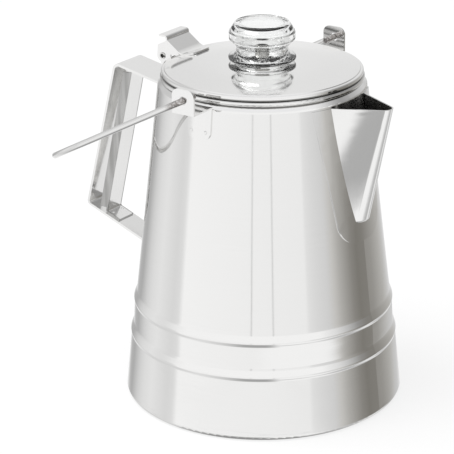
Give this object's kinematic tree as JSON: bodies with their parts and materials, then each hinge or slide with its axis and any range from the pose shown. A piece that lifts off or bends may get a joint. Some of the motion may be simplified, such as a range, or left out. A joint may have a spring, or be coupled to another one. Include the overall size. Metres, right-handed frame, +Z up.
{
  "type": "coffee percolator",
  "caption": "Stainless steel camp coffee percolator: tapered pot, V spout, strap handle, wire bail, hinged lid with a clear glass knob, and a riser with a basket inside.",
  "frame": {"origin": "centre of the base's underside, where the pot rests", "axes": "+Z up, +X towards the spout, -X towards the handle and hinge, bail ears on +Y and -Y"},
  "size_m": [0.2072, 0.1601, 0.2187],
  "materials": {
    "pot_shell": "mirror-polished stainless steel",
    "base_steel": "plain rolled stainless steel",
    "spout_steel": "mirror-polished stainless steel",
    "strap_steel": "polished stainless steel strip",
    "grip_steel": "polished stainless steel strip",
    "ear_steel": "polished stainless steel, spot-welded",
    "hinge_steel": "polished stainless steel",
    "pin_steel": "rolled stainless steel pin",
    "lid_steel": "polished stainless steel",
    "inner_steel": "satin stainless steel",
    "lever_steel": "polished stainless steel",
    "wire_steel": "polished stainless steel wire",
    "tube_steel": "drawn stainless steel tube",
    "basket_steel": "satin stainless steel, perforated",
    "knob_glass": "clear moulded glass"
  },
  "bodies": {
    "pot": {"pot_wall": "pot_shell", "base_plate": "base_steel", "spout": "spout_steel", "handle_strap": "strap_steel", "handle_grip": "grip_steel", "bail_ear_right": "ear_steel", "bail_ear_left": "ear_steel", "hinge_bracket": "hinge_steel", "hinge_pin": "pin_steel"},
    "lid": {"lid_cover": "lid_steel", "lid_skirt": "inner_steel", "knob_collar": "inner_steel", "lid_lever": "lever_steel"},
    "glass_knob": {"glass_knob": "knob_glass"},
    "bail": {"bail": "wire_steel"},
    "riser": {"riser_tube": "tube_steel", "riser_foot": "inner_steel", "basket_stop": "inner_steel"},
    "basket": {"basket_cup": "basket_steel", "basket_sleeve": "inner_steel"},
    "spreader": {"spreader": "basket_steel", "spreader_collar": "inner_steel"}
  },
  "joints": [
    {"name": "lid_hinge", "type": "hinge", "parent": "pot", "child": "lid", "pos_m": [-0.0615, 0, 0.1915], "axis": [0, -1, 0], "range_deg": [0, 110]},
    {"name": "knob_turn", "type": "hinge", "parent": "lid", "child": "glass_knob", "pos_m": [0, 0, 0.1962], "axis": [0, 0, 1], "range_deg": [0, 90]},
    {"name": "bail_swing", "type": "hinge", "parent": "pot", "child": "bail", "pos_m": [0, 0, 0.1922], "axis": [0, 1, 0], "range_deg": [0, 260]},
    {"name": "riser_lift", "type": "slide", "parent": "pot", "child": "riser", "axis": [0, 0, 1], "range_m": [0, 0.005]},
    {"name": "basket_lift", "type": "slide", "parent": "riser", "child": "basket", "axis": [0, 0, 1], "range_m": [0, 0.004]},
    {"name": "spreader_lift", "type": "slide", "parent": "basket", "child": "spreader", "axis": [0, 0, 1], "range_m": [0, 0.003]}
  ]
}
